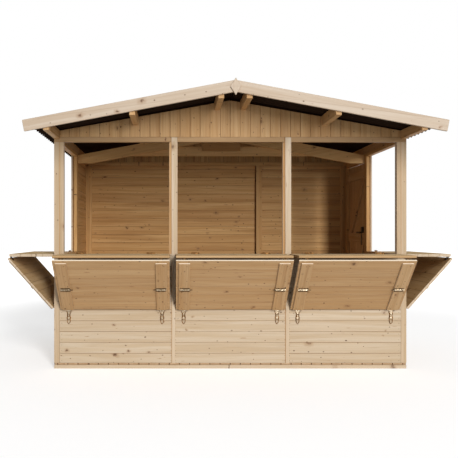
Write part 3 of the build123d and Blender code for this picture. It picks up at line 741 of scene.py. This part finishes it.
def boardedDoor():
    pile = woodPile("doorBoards", 130)
    feet, heads = doorParts["ledges"], [foot + doorParts["ledgeHigh"] for foot in doorParts["ledges"]]
    for solid in solidsOf("door_leaf"):
        low, high = spanOf(solid)
        face = high.x - doorParts["boardThick"]
        boards = cutBetween(solid, axisX, face + sliver, high.x)
        for a, b in boardRows(low.y, high.y, low.y, doorParts["pitch"]):
            pile.add(cutBetween(boards, axisY, a, b), axisZ, axisY, wallBoards, doorKind)
        back = cutBetween(solid, axisX, low.x, face - sliver)
        for foot, head in zip(feet, heads):
            pile.add(cutBetween(back, axisZ, foot, head), axisY, axisZ, ledgeLook, doorKind)
        for foot, head in zip(heads, feet[1:]):
            run = Vector((0, doorParts["braceAcross"], head - foot)).normalized()
            pile.add(cutBetween(back, axisZ, foot, head), run, run.cross(axisX), ledgeLook, doorKind)
    pile.finish("wall", "door", "door_leaf")


boardedDoor()
print("hatches and door boarded")


def circle(centre, side, other, radius, count, share=1.0):
    turns = [2 * math.pi * k / count for k in range(count)]
    return [centre + (side * math.cos(turn) + other * math.sin(turn)) * radius * share for turn in turns]


def mirrored(half, a=-1, b=1):
    # an outline from one half of it
    return half + [(a * x, b * y) for x, y in reversed(half)]


def oblong(left, low, right, high):
    return [(left, low), (right, low), (right, high), (left, high)]


class metalPile:
    # collects metal pieces as one mesh, each in one of these finishes
    finishes = {"steel": metals["zincSteel"], "worn": metals["wornZinc"], "shade": woods["shade"],
                "brown": metals["brownZinc"]}

    def __init__(self, name):
        self.name = name
        self.points, self.faces, self.kinds = [], [], []

    def take(self, solid, kind, edge=0.0):
        if edge:
            softenEdges(solid, edge)
        bmesh.ops.recalc_face_normals(solid, faces=solid.faces)
        solid.verts.index_update()
        base = len(self.points)
        self.points += [vert.co[:] for vert in solid.verts]
        self.faces += [[base + vert.index for vert in face.verts] for face in solid.faces]
        self.kinds += [list(self.finishes).index(kind)] * len(solid.faces)
        solid.free()

    def skin(self, solid, rings):
        # four-sided faces from each ring of points to the next
        for one, two in zip(rings, rings[1:]):
            for k in range(len(one)):
                solid.faces.new((one[k], one[k + 1 - len(one)], two[k + 1 - len(one)], two[k]))

    def plate(self, corner, outline, flat, normal, thick, kind="worn", edge=0.0004):
        # a flat outline, given as pairs of distances along two directions, with a thickness
        across, up = flat
        solid = bmesh.new()
        rings = [[solid.verts.new(corner + across * a + up * b + normal * lift) for a, b in outline]
                 for lift in (0.0, thick)]
        solid.faces.new(rings[0])
        solid.faces.new(rings[1])
        self.skin(solid, rings)
        self.take(solid, kind, edge)

    def bar(self, line, radius, kind, sides=10, closed=False):
        # a round bar through a line of points
        solid, rings = bmesh.new(), []
        count = len(line)
        for i, place in enumerate(line):
            before = line[(i - 1) % count] if closed or i else place
            after = line[(i + 1) % count] if closed or i < count - 1 else place
            run = (after - before).normalized()
            side = run.cross(axisZ if abs(run.z) < facing else axisX).normalized()
            ring = circle(place, side, run.cross(side), radius, sides)
            rings.append([solid.verts.new(point) for point in ring])
        self.skin(solid, rings + rings[:1] if closed else rings)
        if not closed:
            solid.faces.new(rings[0])
            solid.faces.new(rings[-1])
        self.take(solid, kind)

    def screw(self, place, normal, radius, kind="worn"):
        # a low round head with a slot
        side = normal.cross(axisZ if abs(normal.z) < 0.7 else axisX).normalized()
        other = normal.cross(side)
        solid = bmesh.new()
        rings = [[solid.verts.new(point + normal * lift)
                  for point in circle(place, side, other, radius, 10, share)]
                 for share, lift in ((1.0, 0.0), (0.94, 0.0007), (0.6, 0.0013))]
        self.skin(solid, rings)
        solid.faces.new(rings[0])
        solid.faces.new(rings[2])
        self.take(solid, kind)
        long, wide = radius * 0.62, radius * 0.15
        slot = oblong(-long, -wide, long, wide)
        # the slot is a thin dark plate on the head, painted shade
        self.plate(place + normal * 0.0011, slot, (side, other), normal, 0.0004, "shade", 0.0)

    def finish(self, body, *nodes):
        mesh = meshOf(self.name, self.points, self.faces, self.finishes.values())
        mesh.polygons.foreach_set("material_index", self.kinds)
        piece = intoScene(self.name, mesh)
        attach(piece, body)
        if nodes:
            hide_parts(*nodes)


bolt = {"plateLong": 0.086, "plateWide": 0.031, "plateThick": 0.0018, "plateCorner": 0.004,
        "rimWide": 0.0055, "rimHigh": 0.0034, "rimShort": 0.003, "flange": 0.0095, "rod": 0.0044,
        "rodLong": 0.106, "rodEnd": 0.92,
        "strapLong": 0.008, "strapPlaces": (0.17, 0.83), "strapRound": 0.0128,
        "strapFoot": [(0.0125, 0.0), (0.0125, 0.0032), (0.0075, 0.0032)], "knob": 0.0034,
        "knobHigh": (0.0065, 0.0078), "screw": 0.0026, "screwsIn": 0.0065, "screwsMiddle": 0.011,
        "screwsAside": 0.0088}


def slideBolt(pile, solid, down, along, face, middle):
    # plate with raised rims in dark steel as painted shade, two straps over a rod that is drawn back, pale
    # over the plate as a painted highlight and dark past it as painted shade
    low, high = reachAlong(solid, along)
    inward = 1 if (low + high) / 2 < middle else -1
    outer = low if inward > 0 else high
    inner = along * inward
    start = along * outer + down * (sum(reachAlong(solid, down)) / 2) + face * reachAlong(solid, face)[0]
    long, half, thick = bolt["plateLong"], bolt["plateWide"] / 2, bolt["plateThick"]
    cut, rim, short = bolt["plateCorner"], bolt["rimWide"], bolt["rimShort"]
    outline = mirrored([(0, cut - half), (cut, -half), (long - cut, -half), (long, cut - half)], 1, -1)
    pile.plate(start, outline, (inner, down), face, thick)
    for edge, high in ((-half, bolt["rimHigh"]), (half - rim, bolt["flange"])):
        pile.plate(start, oblong(short, edge, long - short, edge + rim), (inner, down), face, high, "steel")
    rod, rodHigh = bolt["rod"], thick + bolt["rod"]
    rodStart = start + face * rodHigh + inner * 0.001
    ends = [0.0, long - cut, bolt["rodLong"] - 0.001]
    # the rod is pale over the plate as a painted highlight, and dark past it as painted shade
    pile.bar([rodStart + inner * place for place in ends[:2]], rod, "worn", 14)
    pile.bar([rodStart + inner * place for place in ends[1:]], rod * bolt["rodEnd"], "steel", 14)
    turns, radius = [math.pi * k / 8 for k in range(9)], bolt["strapRound"] - rodHigh
    over = [(radius * math.cos(turn), rodHigh + radius * math.sin(turn)) for turn in turns]
    foot = bolt["strapFoot"]
    arch = foot + over + mirrored(foot)[len(foot):]
    for place in bolt["strapPlaces"]:
        strapStart = start + inner * (long * place - bolt["strapLong"] / 2)
        pile.plate(strapStart, arch, (down, face), inner, bolt["strapLong"], "worn", 0.0006)
    knob = start + inner * (long * 0.5) + face * rodHigh
    pile.bar([knob] + [knob + face * high for high in bolt["knobHigh"]], bolt["knob"], "worn")
    inset, apart = bolt["screwsIn"], bolt["screwsMiddle"]
    for place in (inset, long / 2 - apart, long / 2 + apart, long - inset):
        for aside in (-bolt["screwsAside"], bolt["screwsAside"]):
            pile.screw(start + inner * place + down * aside + face * thick, face, bolt["screw"])


flapScrews = {"boltLong": 0.09, "radius": 0.0030, "places": (0.05, 0.20, 0.36, 0.72, 0.86, 0.96),
              "aside": (0.73, 0.27)}


def flapMetal(name):
    out, along = hatchWays[name.split("_")[0]]      # out of the wall, and along it
    down, face = flapAxes(out)
    low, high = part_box(name + "_counter")
    middle = (Vector(low) + Vector(high)).dot(along) / 2
    pile = metalPile(name + "FlapMetal")
    for solid in solidsOf(name + "_flap_fittings"):
        start, end = reachAlong(solid, along)
        if end - start > flapScrews["boltLong"]:
            slideBolt(pile, solid, down, along, face, middle)
        else:
            pile.take(solid, "steel")
    for solid in solidsOf(name + "_flap"):
        front = reachAlong(solid, face)[1]
        for batten in flapBattens(solid, face):
            (a, b), (start, end) = reachAlong(batten, along), reachAlong(batten, down)
            for i, share in enumerate(flapScrews["places"]):
                place = along * (a + (b - a) * flapScrews["aside"][i % 2])
                place = place + down * (start + (end - start) * share) + face * front
                pile.screw(place, face, flapScrews["radius"], "steel")
    pile.finish(name + "_flap", name + "_flap_fittings")


for hatchName in hatchNames:
    flapMetal(hatchName)

latch = {     # distances along the wall and down from the latch's top, and out of the wall
    "plate": mirrored([(0.0165, 0.0), (0.019, -0.004), (0.018, -0.014), (0.0135, -0.024), (0.0095, -0.034),
                       (0.0095, -0.042), (0.0125, -0.052), (0.0155, -0.062), (0.0150, -0.069)]),
    "plateThick": 0.0018, "rim": 0.0027, "rimOut": 0.001,
    "lever": [(0.0035, -0.006), (0.0075, -0.012), (0.0060, -0.030), (0.0060, -0.048), (0.0085, -0.058)],
    "leverWire": 0.0017, "leverOut": 0.0075,
    "tongue": mirrored([(-0.006, -0.008), (0.006, -0.008), (0.0045, -0.030), (0.0045, -0.048),
                        (0.007, -0.060)])[:-2],
    "tongueThick": 0.0022, "tongueOut": 0.0045,
    "pin": 0.0030, "pinHalf": 0.0145, "pinDown": -0.038, "pinOut": 0.006,
    "bail": mirrored([(0.0080, -0.050), (0.0120, -0.064), (0.0135, -0.078), (0.0125, -0.093),
                      (0.0085, -0.106), (0.0030, -0.1135)]),
    "bailWire": 0.0027, "bailOut": 0.0042, "bailTop": -0.06, "bailTopOut": 0.0062,
    "hook": mirrored([(-0.0095, -0.072), (-0.004, -0.078)]),
    "hookWire": 0.0020, "hookOut": 0.0055,
    "screws": [(0.0125, -0.008), (-0.0125, -0.008), (0.0105, -0.063), (-0.0105, -0.063)], "screw": 0.0024,
    "top": 0.55, "least": 0.1,      # a piece as long as least, ending below top, is a latch
}


def drawLatch(pile, solid):
    # waisted plate with raised rims, a lever, a cross pin and a wire bail below
    low, high = spanOf(solid)
    middle = (low + high) / 2
    if abs(middle.x) > walls["side"] - 0.02:
        out, along, seat = axisX if middle.x > 0 else -axisX, axisY, walls["side"]
    else:
        out, along, seat = -axisY, axisX, -walls["front"]
    foot = out * seat + along * middle.dot(along) + axisZ * high.z

    def at(a, b, lift):
        return foot + along * a + axisZ * b + out * lift

    plate, thick = latch["plate"], latch["plateThick"]
    pile.plate(foot, plate, (along, axisZ), out, thick)
    for side in (-1, 1):
        rim = [at(side * a, b, thick + latch["rimOut"]) for a, b in plate[1:len(plate) // 2]]
        lever = [at(side * a, b, latch["leverOut"]) for a, b in latch["lever"]]
        pile.bar(rim, latch["rim"], "brown", 8)
        pile.bar(lever, latch["leverWire"], "brown", 8)
    pile.plate(foot + out * latch["tongueOut"], latch["tongue"], (along, axisZ), out, latch["tongueThick"])
    pin, half = at(0.0, latch["pinDown"], latch["pinOut"]), along * latch["pinHalf"]
    pile.bar([pin - half, pin + half], latch["pin"], "steel")
    bail = [at(a, b, latch["bailTopOut"] if b > latch["bailTop"] else latch["bailOut"])
            for a, b in latch["bail"]]
    pile.bar(bail, latch["bailWire"], "brown", 8, closed=True)
    pile.bar([at(a, b, latch["hookOut"]) for a, b in latch["hook"]], latch["hookWire"], "brown", 8)
    for a, b in latch["screws"]:
        pile.screw(at(a, b, thick), out, latch["screw"])


hinges = {"thick": 0.0025, "inset": 0.012, "edge": 0.0003, "sill": (0.9, 1.05), "sillScrews": (0.2, 0.5, 0.8),
          "sillScrew": 0.0038, "doorScrews": (0.15, 0.38, 0.62, 0.85), "doorScrew": 0.004,
          "strapLong": 0.2, "strapScrews": (0.06, 0.28, 0.50, 0.72), "strapScrew": 0.0045,
          "lock": (0.003, 0.229)}
doorSide = walls["side"] - 0.01      # what starts past this is on the outside of the door's wall


def wallMetal():
    pile = metalPile("wallMetal")
    for solid in solidsOf("wall_fittings"):
        low, high = spanOf(solid)
        size = high - low
        if high.z < latch["top"] and size.z > latch["least"]:
            drawLatch(pile, solid)
            continue
        onSill = low.z > hinges["sill"][0] and high.z < hinges["sill"][1]
        if onSill:
            # screws go in the flat part of a hinge plate on a sill rail
            across, other = (axisX, axisY) if size.x > size.y else (axisY, axisX)
            inward = 1 if (low + high).dot(other) < 0 else -1      # the way into the stall
            edge = (low if inward < 0 else high).dot(other) - inward * hinges["inset"]
            for share in hinges["sillScrews"]:
                place = across * (low.dot(across) + size.dot(across) * share) + other * edge
                pile.screw(place + axisZ * (low.z + hinges["thick"]), axisZ, hinges["sillScrew"])
        elif low.x > doorSide:
            # and up the flat side of a door hinge plate
            x, y = walls["side"] + hinges["thick"], high.y - hinges["inset"]
            for share in hinges["doorScrews"]:
                pile.screw(Vector((x, y, low.z + size.z * share)), axisX, hinges["doorScrew"])
        pile.take(solid, "brown" if onSill else "steel", hinges["edge"])
    pile.finish("stall", "wall_fittings")


wallMetal()


def doorScrews():
    pile = metalPile("doorScrews")
    for solid in solidsOf("door_fittings"):
        low, high = spanOf(solid)
        if high.y - low.y > hinges["strapLong"]:
            x, z = walls["side"] + hinges["thick"], (low.z + high.z) / 2
            for share in hinges["strapScrews"]:
                pile.screw(Vector((x, low.y + (high.y - low.y) * share, z)), axisX, hinges["strapScrew"])
        elif low.x > doorSide:
            thick, y = hinges["lock"]
            for z in (low.z + hinges["inset"], high.z - hinges["inset"]):
                pile.screw(Vector((walls["side"] + thick, y, z)), axisX, hinges["doorScrew"])
    pile.finish("door")


doorScrews()

nails = {"radius": 0.0022, "inset": 0.019, "rows": (0.24, 0.76), "leastBoard": 0.04, "belowTop": 0.03}


def wallNails():
    # two small nails a board at each side of every panel
    pile = metalPile("wallNails")
    for side, (out, along) in wallWays.items():
        for solid in solidsOf(side + "_cladding"):
            low, high = spanOf(solid)
            face = reachAlong(solid, out)[1]
            for a, b in boardRows(low.z, high.z, wallBoards["joint"], wallBoards["pitch"]):
                if b - a < nails["leastBoard"] or b > high.z - nails["belowTop"]:
                    continue
                for end in (low.dot(along) + nails["inset"], high.dot(along) - nails["inset"]):
                    for share in nails["rows"]:
                        place = out * face + along * end + axisZ * (a + (b - a) * share)
                        pile.screw(place, out, nails["radius"], "steel")
    pile.finish("stall")


wallNails()

for nodeName, node in frame["nodes"].items():
    finish = (metals["brownZinc"] if nodeName.endswith("_counter_hinges")
              else {"door_fittings": metals["zincSteel"], "ridge_cap": bitumen}.get(nodeName))
    if finish:
        node.data.materials.clear()
        node.data.materials.append(finish)
print("fittings placed")

studio = {"lightPower": 11800, "lightPlace": (10.5, -36.0, 12.5), "lightAim": (0, 0, 1.1),
          "lightSize": (5.0, 24.0), "passes": ("frontPosts", "coverStrips"),
          "sky": 0.37, "floor": 0.80, "farFloor": 0.60, "floorGlow": 0.50,
          "floorNear": 3.5, "floorFar": 8.0, "floorReach": 40}
white = (1, 1, 1, 1)


def studioFloor():
    bench = nodeBench("paleFloor")
    distance = bench.add("VectorMath", operation="LENGTH")
    bench.through(distance, bench.add("NewGeometry").outputs["Position"])
    faraway = bench.ramp(distance.outputs["Value"], studio["floorNear"], studio["floorFar"])
    pale = bench.ramp(faraway, 0.0, 1.0, studio["floor"], studio["farFloor"], smooth=False)
    bench.surface("Base Color", bench.through(bench.add("CombineColor"), pale, pale, pale))
    bench.surface("Roughness", 0.9)
    bench.surface("Specular IOR Level", 0.0)
    strength = bench.ramp(faraway, 0.0, 1.0, studio["floorGlow"], 1.0, smooth=False)
    glow = bench.through(bench.add("Emission"), white, bench.times(bench.seen(), strength))
    bench.feed(bench.output.inputs[0], bench.through(bench.add("AddShader"), bench.shader.outputs[0], glow))
    reach = studio["floorReach"]
    corners = [(x, y, 0) for x, y in oblong(-reach, -reach, reach, reach)]
    floor = intoScene("studioFloor", meshOf("studioFloor", corners, [(0, 1, 2, 3)], [bench.owner]))


def studioSky():
    bench = nodeBench("studioSky", bpy.data.worlds.new("studioSky"), "Background", "OutputWorld")
    strength = bench.add("Mix")
    bench.through(strength, bench.seen())
    bench.feed(strength.inputs[2], studio["sky"])
    bench.feed(strength.inputs[3], 1.0)
    bench.surface("Color", white)
    bench.surface("Strength", strength.outputs[0])
    bpy.context.scene.world = bench.owner


def studioLight():
    # a tall soft light in front, a little to the right
    lamp = bpy.data.lights.new("tallSoftLight", "AREA")
    lamp.shape = "RECTANGLE"
    lamp.size, lamp.size_y = studio["lightSize"]
    lamp.energy = studio["lightPower"]
    light = intoScene("tallSoftLight", lamp)
    light.location = studio["lightPlace"]
    aim = Vector(studio["lightAim"]) - Vector(studio["lightPlace"])
    light.rotation_euler = aim.to_track_quat("-Z", "Y").to_euler()
    light.visible_camera = False
    # thin posts cast no bars across the room
    through = bpy.data.collections.new("tallSoftLightPassesThrough")
    light.light_linking.blocker_collection = through
    for pieceName in studio["passes"]:
        through.objects.link(bpy.data.objects[pieceName])
    for member in through.collection_objects:
        member.light_linking.link_state = "EXCLUDE"


view = {"place": (-0.479, -6.1, 1.1286), "lens": 48, "sensor": 36, "shift": (0.120, 0.0153)}


def frontView():
    data = bpy.data.cameras.new("frontCamera")
    data.lens, data.sensor_width = view["lens"], view["sensor"]
    data.shift_x, data.shift_y = view["shift"]
    camera = intoScene("frontCamera", data)
    camera.location = view["place"]
    camera.rotation_euler = (math.radians(90), 0, 0)
    bpy.context.scene.camera = camera


studioFloor()
studioSky()
studioLight()
frontView()
bpy.context.scene.view_settings.view_transform = "Standard"
print("studio ready")
